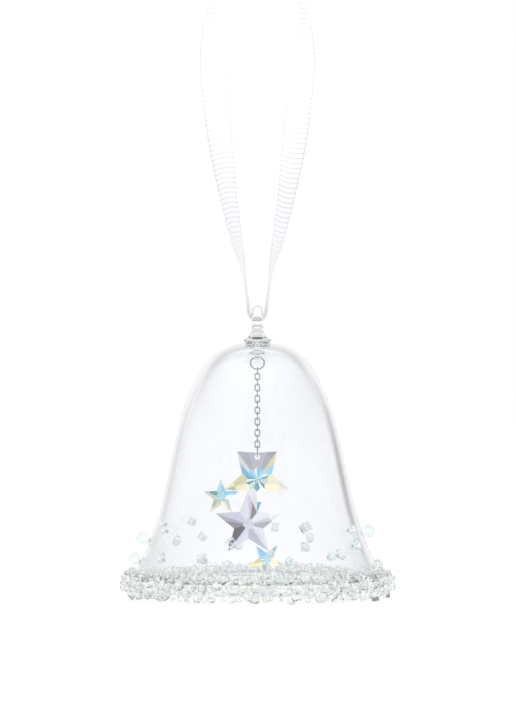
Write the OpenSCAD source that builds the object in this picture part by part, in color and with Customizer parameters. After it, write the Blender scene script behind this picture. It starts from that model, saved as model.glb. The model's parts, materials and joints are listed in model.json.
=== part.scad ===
// Hanging glass bell: a blown dome on a ribbon, with a crystal rim and a chain of crystal stars.
// Heights are written from a level just under the rim; hung() moves them down from the ribbon's loop.

/* [Ribbon] */
// Height of the loop's inner top above the rim's level
hang_h = 166; // [160:1:175]
// Width of the flat ribbon
ribbon_w = 6.35; // [5:0.05:7]
// Thickness of the flat ribbon
ribbon_t = 0.4; // [0.3:0.05:0.5]

/* [Glass dome] */
// Height of the crown's outer face
crown_h = 67.4; // [66:0.1:68]
// Outer radius at the shoulder
shoulder_r = 18.3; // [17.5:0.1:19]
// Height of the shoulder
shoulder_h = 52.45; // [51:0.05:54]
// Thickness of the glass wall
wall = 2.1; // [1.6:0.1:2.4]
// Radius of the hole drilled in the crown
crown_bore_r = 2.1; // [2.05:0.05:2.4]

/* [Hanger stem] */
// Height of the ribbon eye's centre
eye_h = 72.8; // [72.5:0.1:73.2]
// Radius of the ribbon eye's ring, to the middle of its bar
eye_r = 2.65; // [2.6:0.05:2.8]
// Radius of the ribbon eye's bar
eye_bar_r = 1.45; // [1.3:0.05:1.5]
// Radius of the column under the eye
column_r = 1.7; // [1.5:0.05:1.8]
// Radius of the flared foot
foot_r = 3.6; // [3.2:0.1:4]
// Height of the inner eye's centre
inner_eye_h = 64.2; // [64:0.05:64.3]
// Radius of the inner eye's ring, to the middle of its bar
inner_eye_r = 1.4; // [1.4:0.05:1.45]

/* [Chain] */
// Diameter of the jump ring's wire
jump_wire = 0.4; // [0.3:0.05:0.4]
// Radius of the jump ring, to the middle of its wire
jump_r = 1.8; // [1.75:0.05:1.9]
// Height of the jump ring's centre
jump_h = 61.9; // [61.8:0.05:61.9]
// Diameter of the links' wire
link_wire = 0.35; // [0.25:0.01:0.35]
// Radius of a link's bow, to the middle of its wire
link_bow_r = 0.6; // [0.58:0.01:0.65]
// Length of a link's straight sides
link_straight = 0.66; // [0.6:0.01:0.7]
// Free play between wires that hang in each other
play = 0.05; // [0.03:0.01:0.06]
// Radius of the ring that holds the stars, to the middle of its wire
star_ring_r = 1.4; // [1.35:0.05:1.5]

/* [Stars] */
// Tip radius of the large aurora star
aurora_r = 8.85; // [8.7:0.05:9]
// Tip radius of the large clear star
clear_r = 9.15; // [9:0.05:9.3]
// Tip radius of the two small aurora stars
small_r = 4.85; // [4.7:0.05:5]
// Thickness of a large star's edge
star_edge = 1; // [0.8:0.1:1.2]
// Radius of the hole drilled in the aurora star
star_hole_r = 0.7; // [0.68:0.01:0.75]

/* [Hidden] */
$fn = 48;
tiny = 0.02; // gap between pieces that are bedded in cement

// ---- placing ----

module hung() translate([0, 0, -hang_h]) children();

// A ring of round wire about the Y axis, which lies in the XZ plane
module wire_ring(ring_r, wire_r)
    rotate([90, 0, 0])
        rotate_extrude() translate([ring_r, 0]) circle(r = wire_r);

// A repeatable scatter between -1 and 1
function scatter(i, seed) = sin(i * 137.508 + seed * 71.3);

// ---- ribbon ----

// Half of the ribbon's route, from the eye up to the loop: x, height, turn, width, thickness.
// Turn 0 has the width across the eye's bar, and 90 shows the ribbon's face.
HALF_ROUTE = [
    [0, 73.15, 0, 1.5, 1],
    [-1.15, 73.46, 0, 1.5, 1],
    [-1.99, 74.3, 0, 1.6, 1],
    [-2.3, 75.5, 0, 1.9, 1],
    [-2.45, 77, 1, 2.4, 0.9],
    [-2.75, 79.5, 4, 3.2, 0.85],
    [-3.3, 83.5, 9, 4.6, 0.6],
    [-4.1, 88.5, 17, 5.8, 0.45],
    [-5.4, 94, 27, ribbon_w, ribbon_t],
    [-7.4, 104.5, 42, ribbon_w, ribbon_t],
    [-8.9, 114, 62, ribbon_w, ribbon_t],
    [-10, 122, 80, ribbon_w, ribbon_t],
    [-10.8, 129, 90, ribbon_w, ribbon_t],
    [-11.5, 136, 84, ribbon_w, ribbon_t],
    [-12, 143, 62, ribbon_w, ribbon_t],
    [-12, 150, 34, ribbon_w, ribbon_t],
    [-10.9, 156, 12, ribbon_w, ribbon_t],
    [-8, 161.8, 0, ribbon_w, ribbon_t],
    [-4.2, 165.2, 0, ribbon_w, ribbon_t],
    [0, 166.2, 0, ribbon_w, ribbon_t]
];
half_last = len(HALF_ROUTE) - 1;
ROUTE = concat(
    HALF_ROUTE,
    [for (i = [half_last - 1:-1:1]) let (p = HALF_ROUTE[i]) [-p[0], p[1], p[2], p[3], p[4]]]
);

// A flat band has an eight-sided section: its two faces and its rounded edges
BAND_SECTION = [
    [-0.5, -0.2], [-0.44, -0.5], [0.44, -0.5], [0.5, -0.2],
    [0.5, 0.2], [0.44, 0.5], [-0.44, 0.5], [-0.5, 0.2]
];

function unit(v) = v / norm(v);

// The section's points at a route point whose neighbours are before and after it
function band_ring(before, p, after) =
    let (along = unit([after[0] - before[0], after[1] - before[1]]))
    [for (s = BAND_SECTION)
        let (w = s[0] * p[3], t = s[1] * p[4])
        let (side = w * sin(p[2]) + t * cos(p[2]), across = w * cos(p[2]) - t * sin(p[2]))
        [p[0] - along[1] * side, across, p[1] + along[0] * side]
    ];

// The two faces' quads are split along the same diagonal, so that they stay parallel where the
// band twists.
module closed_band(route) {
    n = len(route);
    m = len(BAND_SECTION);
    polyhedron(
        points = [for (k = [0:n - 1])
            each band_ring(route[(k + n - 1) % n], route[k], route[(k + 1) % n])],
        faces = [for (k = [0:n - 1], j = [0:m - 1])
            let (a = k * m, b = ((k + 1) % n) * m, q = (j + 1) % m)
            each j < m / 2
                ? [[a + j, b + j, b + q], [a + j, b + q, a + q]]
                : [[a + j, b + j, a + q], [b + j, b + q, a + q]]]
    );
}

module hanging_ribbon() color("white") hung() closed_band(ROUTE);

seam_half = 4.2; // half the length of the lap, along X
seam_drop = 1; // how far the lap falls from its middle to its ends
seam_lift = 0.43; // from the ribbon's middle up to the lap's middle
seam_t = 0.36;

// The ribbon's end, lapped over the top of the loop
module ribbon_seam() color("white") hung()
    translate([0, ribbon_w / 2, hang_h + ribbon_t / 2 + seam_lift])
        rotate([90, 0, 0]) linear_extrude(ribbon_w) polygon([
            [-seam_half, -seam_drop - seam_t / 2], [0, -seam_t / 2],
            [seam_half, -seam_drop - seam_t / 2], [seam_half, -seam_drop + seam_t / 2],
            [0, seam_t / 2], [-seam_half, -seam_drop + seam_t / 2]
        ]);

// Two rows of stitches through the lap
module seam_stitches() color("gainsboro") hung() {
    row_x = 2.9;
    row_z = hang_h + ribbon_t / 2 + seam_lift + seam_t / 2 - seam_drop * row_x / seam_half;
    for (x = [-row_x, row_x], y = [-2.2:1.1:2.2])
        translate([x, y - 0.35, row_z]) rotate([-90, 0, 0]) cylinder(r = 0.14, h = 0.7);
}

// ---- glass dome ----

function bezier(p, t) =
    p[0] * pow(1 - t, 3) + p[1] * 3 * t * pow(1 - t, 2)
    + p[2] * 3 * t * t * (1 - t) + p[3] * pow(t, 3);
function bezier_way(p, t) = unit(
    (p[1] - p[0]) * pow(1 - t, 2) + (p[2] - p[1]) * 2 * t * (1 - t) + (p[3] - p[2]) * t * t
);

// The outer face: a round crown down to the shoulder, then a waist that flares to the rim
CROWN = [[0, crown_h], [10.9, crown_h], [14.4, 61.9], [shoulder_r, shoulder_h]];
SKIRT = [[shoulder_r, shoulder_h], [24.07, 38.3], [23.65, 16.5], [35.36, 3.2]];
rim_at = 0.9; // where the skirt's curve is cut off

function outer_face(at) = at < 1 ? bezier(CROWN, at) : bezier(SKIRT, at - 1);
function face_way(at) = at < 1 ? bezier_way(CROWN, at) : bezier_way(SKIRT, at - 1);
function face_out(at) = let (w = face_way(at)) [-w[1], w[0]];
function inner_face(at) = outer_face(at) - wall * face_out(at);

FACE_STEPS = [for (i = [0:12]) i / 12, for (i = [1:16]) 1 + rim_at * i / 16];
rim_mid = outer_face(1 + rim_at) - wall / 2 * face_out(1 + rim_at);
rim_lean = atan2(face_out(1 + rim_at)[1], face_out(1 + rim_at)[0]);
last_step = len(FACE_STEPS) - 1;

DOME_PROFILE = concat(
    [for (at = FACE_STEPS) outer_face(at)],
    [for (i = [1:5]) rim_mid + wall / 2 * [cos(rim_lean - 30 * i), sin(rim_lean - 30 * i)]],
    [for (i = [last_step:-1:0]) inner_face(FACE_STEPS[i])]
);

module glass_dome() color("lightcyan", 0.3) hung() difference() {
    rotate_extrude($fn = 96) polygon(DOME_PROFILE);
    translate([0, 0, crown_h - 2 * wall]) cylinder(r = crown_bore_r, h = 3 * wall);
}

// Radius of the outer face at a height, and how far the face leans back there
FACE_TABLE = [for (i = [0:40]) let (p = bezier(SKIRT, i / 40)) [p[1], p[0]]];
function face_r(z) = lookup(z, FACE_TABLE);
function face_lean(z) = atan(face_r(z - 0.5) - face_r(z + 0.5));

module on_face(turn, z, out = 0)
    rotate([0, 0, turn]) translate([face_r(z), 0, z])
        rotate([0, -face_lean(z), 0]) translate([out, 0, 0]) children();

// ---- hanger stem ----

foot_h = 67.45; // underside of the foot
foot_top = 70.2; // where the foot runs into the column
shank_r = 1.6;
shank_end = 65.5;
hook_taper = 65.1; // lower end of the short cone above the inner eye
inner_bar = 0.6; // half the inner eye's bar, along its radius
inner_half_w = 0.9; // half the inner eye's width, along its axis
column_end = eye_h - eye_r + 0.7; // inside the ribbon eye's bar

// Column, foot and shank, turned in one
STEM_PROFILE = [
    [0, hook_taper], [0.9, hook_taper], [shank_r, shank_end], [shank_r, foot_h],
    [foot_r - 0.25, foot_h], [foot_r, foot_h + 0.2], [foot_r - 0.1, foot_h + 0.45],
    [2.6, foot_h + 1.15], [1.95, foot_h + 1.9], [column_r, foot_top],
    [1.1, column_end], [0, column_end]
];

module hanger_stem() color("lightcyan", 0.5) hung() {
    rotate_extrude() polygon(STEM_PROFILE);
    translate([0, 0, eye_h]) rotate([0, 0, 90]) wire_ring(eye_r, eye_bar_r);
    translate([0, 0, inner_eye_h]) rotate([0, 90, 0]) rotate_extrude()
        translate([inner_eye_r, 0]) {
            side = inner_half_w - inner_bar;
            translate([0, side]) circle(r = inner_bar);
            translate([0, -side]) circle(r = inner_bar);
            translate([-inner_bar, -side]) square([2 * inner_bar, 2 * side]);
        }
}

// Clear adhesive between the stem, the drilled crown and the foot
module crown_cement() color("white", 0.4) hung() rotate_extrude() polygon([
    [shank_r + tiny, 65.45], [crown_bore_r - tiny, 65.45], [crown_bore_r - tiny, 67.36],
    [foot_r - 0.3, 67.24], [foot_r - 0.3, foot_h - tiny], [shank_r + tiny, foot_h - tiny]
]);

// ---- crystal rim ----

// Rows of crystals round the rim: band, radius, height, crystal radius, count, start
RIM_ROWS = [
    ["upper", 33.6, 7.2, 1.2, 70, 0],
    ["outer", 34.65, 4.72, 1.3, 72, 2.5],
    ["lower", 33.25, 2.3, 1.3, 68, 1],
    ["lower", 30.3, 2.35, 1.3, 62, 3],
    ["inner", 28.15, 4.3, 1.25, 58, 2],
    ["inner", 27.6, 6.95, 1.22, 58, 4]
];

// Four crystals in ten are beads, three are pointed chatons and three are cubes
function rim_kind(i, start) =
    let (k = (i * 7 + floor(i / 9) * 3 + start * 4) % 10) k < 4 ? "bead" : k < 7 ? "chaton" : "cube";

module bead(r) sphere(r = r, $fn = 24);

// A pointed-back crystal: a flat top, a girdle and a long cone
module chaton(r) {
    cylinder(r1 = 0.97 * r, r2 = 0.55 * r, h = 0.45 * r, $fn = 24);
    translate([0, 0, -0.95 * r]) cylinder(r1 = 0.02, r2 = 0.97 * r, h = 0.951 * r, $fn = 24);
}

module cube_crystal(edge) cube(edge, center = true);

module rim_crystal(kind, r) {
    if (kind == "bead") bead(r);
    if (kind == "chaton") chaton(r);
    if (kind == "cube") cube_crystal(1.22 * r);
}

module rim_crystals(band, kind) color("whitesmoke") hung()
    for (row = RIM_ROWS) if (row[0] == band)
        for (i = [0:row[4] - 1]) if (rim_kind(i, row[5]) == kind)
            rotate([0, 0, (i + row[5] / 5) * 360 / row[4]])
                translate([
                    row[1] + 0.05 * scatter(i, 1),
                    0.05 * scatter(i, 2),
                    row[2] + 0.06 * scatter(i, 3)
                ])
                    rotate([90 * scatter(i, 4), 180 * scatter(i, 5), 90 * scatter(i, 6)])
                        rim_crystal(kind, row[3]);

// The bed of clear adhesive round the rim that every rim crystal is set in
module rim_cement() color("white", 0.5) hung() rotate_extrude($fn = 96) difference() {
    union() {
        translate([31.3, 4.8]) circle(r = 2.3);
        translate([32.5, 6.5]) circle(r = 1.25);
        translate([29.2, 6.2]) circle(r = 1.25);
    }
    polygon(DOME_PROFILE);
}

// ---- crystals on the wall ----

// Beads stuck on the outer face: turn round the axis, height of the spot, radius
WALL_BEADS = [
    [180, 15.7, 1.45], [180, 10.3, 1.3], [207, 20.3, 0.75], [211, 18.6, 0.85],
    [217, 11.2, 1], [352, 17.8, 1.5], [329, 18.7, 1.15], [328, 14.5, 1.3],
    [314, 12.3, 1.25], [308, 12, 1.1], [41, 11.6, 1.1], [60, 15, 1.2],
    [100, 12.6, 1.3], [141, 14.8, 1.35], [152, 11.4, 1.1], [285, 11, 1.05], [344, 9.1, 1.3]
];
// Cubes stuck on the outer face: turn round the axis, height, edge, turn on the face
WALL_CUBES = [
    [243, 11.4, 2.2, 8], [257, 15.6, 2.2, 42], [296, 19.6, 2.3, 28], [64, 12.4, 2],
    [132, 19.8, 2, 20], [122, 15.4, 1.9, 33], [80, 17.7, 1.9, 12]
];
cement_gap = 0.12; // thickness of the adhesive under each crystal

module wall_beads() color("whitesmoke") hung()
    for (b = WALL_BEADS) on_face(b[0], b[1], b[2] + cement_gap) bead(b[2]);

module wall_cubes() color("whitesmoke") hung()
    for (c = WALL_CUBES) on_face(c[0], c[1], c[2] / 2 + cement_gap)
        rotate([is_undef(c[3]) ? 0 : c[3], 0, 0]) cube_crystal(c[2]);

module wall_cement() color("white", 0.5) hung()
    for (c = concat(WALL_BEADS, WALL_CUBES)) on_face(c[0], c[1], -0.1)
        rotate([0, 90, 0]) cylinder(r = 0.45, h = 0.1 + 2.5 * cement_gap, $fn = 24);

// ---- chain ----

link_reach = 2 * link_bow_r + link_straight; // between a link's two bows, wire middle to middle
wire_step = link_wire + play; // from one wire's middle to the one that hangs on it
first_link_h = jump_h - jump_r + jump_wire / 2 + play + link_wire / 2;
link_pitch = link_reach - wire_step;
link_count = 14;
star_ring_h = first_link_h - (link_count - 1) * link_pitch - link_reach + wire_step - star_ring_r;

module jump_ring() color("silver") hung() translate([0, 0, jump_h]) wire_ring(jump_r, jump_wire / 2);

// Half of a bow, turned about the link's middle line
module bow() rotate([90, 0, 0])
    rotate_extrude(angle = 180) translate([link_bow_r, 0]) circle(r = link_wire / 2, $fn = 24);

// An oval link in the XZ plane, hanging from the middle of its upper wire
module link() translate([0, 0, -link_reach / 2]) {
    for (end = [0, 1]) rotate([0, 180 * end, 0])
        translate([0, 0, link_straight / 2]) bow();
    for (x = [-link_bow_r, link_bow_r]) translate([x, 0, -link_straight / 2 - 0.001])
        cylinder(r = link_wire / 2, h = link_straight + 0.002, $fn = 24);
}

module chain_link(number) color("silver") hung()
    translate([0, 0, first_link_h - (number - 1) * link_pitch])
        rotate([0, 0, number % 2 == 1 ? 90 : 0]) link();

module star_ring() color("silver") hung()
    translate([0, 0, star_ring_h]) rotate([0, 0, 90]) wire_ring(star_ring_r, link_wire / 2);

// ---- stars ----

aurora_at = [-0.1, 0, 31.6];
clear_at = [-2.3, 2.9, 19.7];
left_at = [-9.4, -1.9, 26.9];
low_at = [2.35, 4.7, 9.95];
hole_h = star_ring_h - star_ring_r - 0.225; // middle of the hole that the star ring passes through

// A star cut from crystal, facing -Y: a raised rosette in front, a straight edge, a pointed back.
// turn is the way its first tip points; top_r, if given, fills the notch at the top.
module cut_star(tip, notch, front, back, edge, turn, rosette, top_r = 0) {
    reach = [for (i = [0:9]) let (a = turn + 36 * i)
        i % 2 == 0 ? tip : (top_r > 0 && abs(a % 360 - 90) < 1 ? top_r : notch)];
    function spot(i, r, y) = [r * cos(turn + 36 * i), y, r * sin(turn + 36 * i)];
    front_ring = [for (i = [0:9]) spot(i, rosette * (i % 2 == 0 ? 1.2 : 1), -0.75 * front)];
    polyhedron(
        points = concat(
            [[0, -front, 0]], front_ring,
            [for (i = [0:9]) spot(i, reach[i], -edge / 2)],
            [for (i = [0:9]) spot(i, reach[i], edge / 2)],
            [[0, back, 0]]
        ),
        faces = [for (i = [0:9]) let (j = (i + 1) % 10) each [
            [0, 1 + j, 1 + i],
            [1 + i, 1 + j, 11 + j], [1 + i, 11 + j, 11 + i],
            [11 + i, 11 + j, 21 + j], [11 + i, 21 + j, 21 + i],
            [31, 21 + i, 21 + j]
        ]]
    );
}

module star_aurora_large() color("lightskyblue") hung() difference() {
    translate(aurora_at) cut_star(aurora_r, 4.05, 2.1, 1.7, star_edge, -90, 2.2, 6.8);
    translate([0, 4, hole_h]) rotate([90, 0, 0]) cylinder(r = star_hole_r, h = 8, $fn = 32);
}

module star_clear_large() color("lavender") hung()
    translate(clear_at) cut_star(clear_r, 3.95, 2, 1.4, star_edge, 90, 1.1);

module star_aurora_left() color("lightskyblue") hung()
    translate(left_at) cut_star(small_r, 2, 1.1, 0.8, 0.6, 90, 1);

module star_aurora_low() color("lightskyblue") hung()
    translate(low_at) cut_star(small_r, 2, 1.1, 0.8, 0.6, -90, 1);

// Three spots of clear adhesive that hold the stars together: x, height, front, back, radius
STAR_SPOTS = [[-1.2, 26.4, 0.5, 2.4, 1.1], [-6.6, 28.5, -1.9, -0.2, 0.7], [1, 13.2, 3, 4.7, 0.7]];
module star_cement() color("white", 0.6) hung()
    for (s = STAR_SPOTS) translate([s[0], s[3], s[1]])
        rotate([90, 0, 0]) cylinder(r = s[4], h = s[3] - s[2], $fn = 24);

hanging_ribbon();
ribbon_seam();
seam_stitches();
glass_dome();
hanger_stem();
crown_cement();
rim_cement();
rim_crystals("upper", "bead");  // rim_beads_upper
rim_crystals("upper", "chaton");  // rim_chatons_upper
rim_crystals("upper", "cube");  // rim_cubes_upper
rim_crystals("outer", "bead");  // rim_beads_outer
rim_crystals("outer", "chaton");  // rim_chatons_outer
rim_crystals("outer", "cube");  // rim_cubes_outer
rim_crystals("lower", "bead");  // rim_beads_lower
rim_crystals("lower", "chaton");  // rim_chatons_lower
rim_crystals("lower", "cube");  // rim_cubes_lower
rim_crystals("inner", "bead");  // rim_beads_inner
rim_crystals("inner", "chaton");  // rim_chatons_inner
rim_crystals("inner", "cube");  // rim_cubes_inner
wall_beads();
wall_cubes();
wall_cement();
jump_ring();
chain_link(1);  // chain_link_01
chain_link(2);  // chain_link_02
chain_link(3);  // chain_link_03
chain_link(4);  // chain_link_04
chain_link(5);  // chain_link_05
chain_link(6);  // chain_link_06
chain_link(7);  // chain_link_07
chain_link(8);  // chain_link_08
chain_link(9);  // chain_link_09
chain_link(10);  // chain_link_10
chain_link(11);  // chain_link_11
chain_link(12);  // chain_link_12
chain_link(13);  // chain_link_13
chain_link(14);  // chain_link_14
star_ring();
star_aurora_large();
star_clear_large();
star_aurora_left();
star_aurora_low();
star_cement();
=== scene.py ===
import json
import math

import bmesh
import bpy
from mathutils import Matrix, Vector


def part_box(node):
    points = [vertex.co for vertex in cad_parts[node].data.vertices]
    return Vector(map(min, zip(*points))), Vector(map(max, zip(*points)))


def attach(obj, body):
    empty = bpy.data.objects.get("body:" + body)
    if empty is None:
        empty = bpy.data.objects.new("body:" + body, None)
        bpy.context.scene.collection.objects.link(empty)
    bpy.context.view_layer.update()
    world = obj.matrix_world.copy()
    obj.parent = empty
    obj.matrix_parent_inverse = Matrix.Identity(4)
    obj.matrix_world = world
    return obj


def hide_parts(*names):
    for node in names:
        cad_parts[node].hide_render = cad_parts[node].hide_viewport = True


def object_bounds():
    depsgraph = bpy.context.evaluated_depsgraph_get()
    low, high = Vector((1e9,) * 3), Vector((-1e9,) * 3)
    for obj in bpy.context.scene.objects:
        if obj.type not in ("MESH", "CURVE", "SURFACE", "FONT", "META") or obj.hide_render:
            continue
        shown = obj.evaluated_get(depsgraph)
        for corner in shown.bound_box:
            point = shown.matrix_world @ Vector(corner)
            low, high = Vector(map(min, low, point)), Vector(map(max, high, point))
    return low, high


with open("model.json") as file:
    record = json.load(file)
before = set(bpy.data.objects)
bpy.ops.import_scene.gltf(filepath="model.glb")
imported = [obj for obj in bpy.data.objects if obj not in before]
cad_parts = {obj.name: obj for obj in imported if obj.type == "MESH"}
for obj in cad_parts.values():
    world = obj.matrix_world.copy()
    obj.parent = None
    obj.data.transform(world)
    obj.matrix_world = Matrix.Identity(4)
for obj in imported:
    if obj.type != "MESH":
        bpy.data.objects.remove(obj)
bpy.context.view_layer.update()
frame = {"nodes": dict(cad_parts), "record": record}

MM = 0.001
HANG = 166  # from the rim's level up to the loop's inner top, the frame's origin

# Light that glass and crystal give off here, in place of bounces that the render doesn't follow
DOME_GLOW = 0.008
RIM_GLOW = 0.008
BED_GLOW = 0.005
STAR_GLOW = 0.3  # this one is a painted glow in each facet's painted colour, which lifts the facets


def at(x, y, height):
    """A point in metres, from millimetres and a height above the rim's level."""
    return Vector((x, y, height - HANG)) * MM


# ---- shader and geometry nodes ----

class Value:
    """A node socket that takes part in arithmetic."""

    def __init__(self, nodes, socket):
        self.nodes = nodes
        self.socket = socket

    def maths(self, operation, *others):
        values = dict(enumerate((self, *others)))
        return self.nodes.node("ShaderNodeMath", {"operation": operation}, values)

    def swapped(self, operation, other):
        return self.nodes.node("ShaderNodeMath", {"operation": operation}, {0: other, 1: self})

    def __add__(self, other):
        return self.maths("ADD", other)

    __radd__ = __add__

    def __mul__(self, other):
        return self.maths("MULTIPLY", other)

    __rmul__ = __mul__

    def __sub__(self, other):
        return self.maths("SUBTRACT", other)

    def __rsub__(self, other):
        return self.swapped("SUBTRACT", other)

    def __truediv__(self, other):
        return self.maths("DIVIDE", other)

    def __pow__(self, other):
        return self.maths("POWER", other)

    def __gt__(self, other):
        return self.maths("GREATER_THAN", other)

    def __lt__(self, other):
        return self.maths("LESS_THAN", other)

    def sine(self):
        return self.maths("SINE")

    def size(self):
        return self.maths("ABSOLUTE")

    def angle_from(self, other):
        return self.maths("ARCTAN2", other)


class Nodes:
    """A node tree, with one method that adds any node."""

    def __init__(self, tree):
        self.tree = tree

    def put(self, socket, value):
        if isinstance(value, list):
            for one in value:
                self.put(socket, one)
        elif isinstance(value, Value):
            self.tree.links.new(value.socket, socket)
        elif isinstance(value, tuple) and socket.type == "RGBA" and len(value) == 3:
            socket.default_value = (*value, 1)
        else:
            socket.default_value = value

    def node(self, kind, settings=None, values=None, out=0):
        made = self.tree.nodes.new(kind)
        for name, value in (settings or {}).items():
            if name == "stops":
                self.set_stops(made.color_ramp, value)
            else:
                setattr(made, name, value)
        for name, value in (values or {}).items():
            self.put(made.inputs[name], value)
        return Value(self, made.outputs[out])

    @staticmethod
    def set_stops(ramp, stops):
        while len(ramp.elements) > 1:
            ramp.elements.remove(ramp.elements[0])
        for number, (place, colour) in enumerate(stops):
            element = ramp.elements.new(place) if number else ramp.elements[0]
            element.position = place
            element.color = (*colour, 1) if isinstance(colour, tuple) else (colour,) * 3 + (1,)

    def blend(self, share, low, high):
        """low turning to high as share goes from 0 to 1, for colours."""
        return self.node("ShaderNodeMix", {"data_type": "RGBA"}, {0: share, 6: low, 7: high}, out=2)


class Finish(Nodes):
    """A material built on one Principled shader."""

    def __init__(self, name, **constants):
        self.material = bpy.data.materials.new(name)
        self.material.use_nodes = True
        super().__init__(self.material.node_tree)
        self.surface = self.tree.nodes["Principled BSDF"].inputs
        for key, value in constants.items():
            self.put(self.surface[key.replace("_", " ")], value)

    def attribute(self, name, out=2):
        return self.node("ShaderNodeAttribute", {"attribute_name": name}, out=out)

    def place(self, scale):
        """Object coordinates, in steps of 1 / scale metres."""
        where = self.node("ShaderNodeTexCoord", out=3)
        return self.node("ShaderNodeMapping", None, {"Vector": where, "Scale": (scale,) * 3})

    def bumps(self, height, strength, depth):
        return self.node(
            "ShaderNodeBump", None, {"Height": height, "Strength": strength, "Distance": depth}
        )


class Grower(Nodes):
    """A geometry tree with named inputs."""

    def __init__(self, name):
        super().__init__(bpy.data.node_groups.new(name, "GeometryNodeTree"))
        self.keys = {}
        self.source = self.tree.nodes.new("NodeGroupInput")

    def ask(self, name, kind, default=None):
        socket = self.tree.interface.new_socket(name=name, in_out="INPUT", socket_type=kind)
        if default is not None:
            socket.default_value = default
        self.keys[name] = socket.identifier
        return Value(self, self.source.outputs[name])

    def give(self, geometry):
        self.tree.interface.new_socket(
            name="Geometry", in_out="OUTPUT", socket_type="NodeSocketGeometry"
        )
        self.put(self.tree.nodes.new("NodeGroupOutput").inputs["Geometry"], geometry)

    def grown(self, values, base=None):
        """The plain mesh that the tree makes with these input values."""
        holder = bpy.data.objects.new("holder", base or bpy.data.meshes.new("holder"))
        bpy.context.collection.objects.link(holder)
        growth = holder.modifiers.new("growth", "NODES")
        growth.node_group = self.tree
        for name, value in values.items():
            growth[self.keys[name]] = value
        ready = holder.evaluated_get(bpy.context.evaluated_depsgraph_get())
        mesh = bpy.data.meshes.new_from_object(ready)
        bpy.data.objects.remove(holder)
        return mesh


# ---- pieces ----

def show(name, mesh, finish, body, slot, *nodes):
    """Link a finished mesh as a piece that rides on a body and stands for CAD nodes."""
    piece = bpy.data.objects.new(name, mesh)
    bpy.context.collection.objects.link(piece)
    if finish:
        mesh.materials.clear()
        mesh.materials.append(finish.material)
    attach(piece, body)
    if nodes:
        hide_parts(*nodes)
    return piece


def as_mesh(name, verts, faces, smooth=False):
    mesh = bpy.data.meshes.new(name)
    mesh.from_pydata([tuple(v) for v in verts], [], faces)
    mesh.shade_smooth() if smooth else mesh.shade_flat()
    mesh.update()
    return mesh


def outward(mesh):
    """Merge doubles and turn every face outwards."""
    work = bmesh.new()
    work.from_mesh(mesh)
    bmesh.ops.remove_doubles(work, verts=work.verts, dist=1e-7)
    bmesh.ops.recalc_face_normals(work, faces=work.faces)
    work.to_mesh(mesh)
    work.free()
    return mesh


def joined(name, meshes):
    """Several meshes as one, with their attributes."""
    parts = []
    for mesh in meshes:
        part = bpy.data.objects.new("part", mesh)
        bpy.context.collection.objects.link(part)
        parts.append(part)
    with bpy.context.temp_override(
        active_object=parts[0], object=parts[0],
        selected_objects=parts, selected_editable_objects=parts,
    ):
        bpy.ops.object.join()
    mesh = parts[0].data
    bpy.data.objects.remove(parts[0])
    mesh.name = name
    return mesh


def ring_faces(rings, around, closed_rings=False):
    """Quads between successive rings of points."""
    faces = []
    for k in range(rings if closed_rings else rings - 1):
        a, b = k * around, (k + 1) % rings * around
        for j in range(around):
            n = (j + 1) % around
            faces.append((a + j, a + n, b + n, b + j))
    return faces


def paint(*rgb):
    """A colour in linear light, from 0 to 255 values."""
    return tuple(
        c / 255 / 12.92 if c < 10.3 else ((c / 255 + 0.055) / 1.055) ** 2.4 for c in rgb
    )


# ---- camera, floor and light ----

VIEW_CENTRE = at(0.16, 0, 63.4)
FRAME_HEIGHT = 185.6 * MM
CAMERA_AWAY = 1.5
CAMERA_RISE = math.radians(0.4)
FLOOR_GAP = 0.5 * MM


def make_camera():
    lens = bpy.data.cameras.new("camera")
    lens.sensor_fit = "VERTICAL"
    lens.sensor_height = 24
    lens.lens = lens.sensor_height * CAMERA_AWAY / FRAME_HEIGHT
    lens.clip_start = 0.05
    lens.clip_end = 20
    camera = bpy.data.objects.new("camera", lens)
    bpy.context.collection.objects.link(camera)
    away = Vector((0, -math.cos(CAMERA_RISE), math.sin(CAMERA_RISE))) * CAMERA_AWAY
    camera.location = VIEW_CENTRE + away
    camera.rotation_euler = (math.pi / 2 - CAMERA_RISE, 0, 0)
    bpy.context.scene.camera = camera


def make_floor():
    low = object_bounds()[0][2] - FLOOR_GAP
    half = 2.5
    mesh = as_mesh("floor", [
        (-half, -half, low), (half, -half, low), (half, half, low), (-half, half, low)
    ], [(0, 1, 2, 3)])
    floor = bpy.data.objects.new("floor", mesh)
    bpy.context.collection.objects.link(floor)
    finish = Finish("pale_floor", Roughness=0.9, Specular_IOR_Level=0.0, Emission_Strength=0.93)
    finish.put(finish.surface["Base Color"], (0.12, 0.12, 0.12))
    finish.put(finish.surface["Emission Color"], (1.0, 1.0, 1.0))
    mesh.materials.append(finish.material)


def area_light(name, where, target, size, watts):
    light = bpy.data.lights.new(name, "AREA")
    light.shape = "DISK"
    light.size = size
    light.energy = watts
    lamp = bpy.data.objects.new(name, light)
    bpy.context.collection.objects.link(lamp)
    lamp.location = where
    lamp.rotation_euler = (Vector(target) - Vector(where)).to_track_quat("-Z", "Y").to_euler()
    lamp.visible_glossy = False
    lamp.visible_transmission = False


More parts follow.
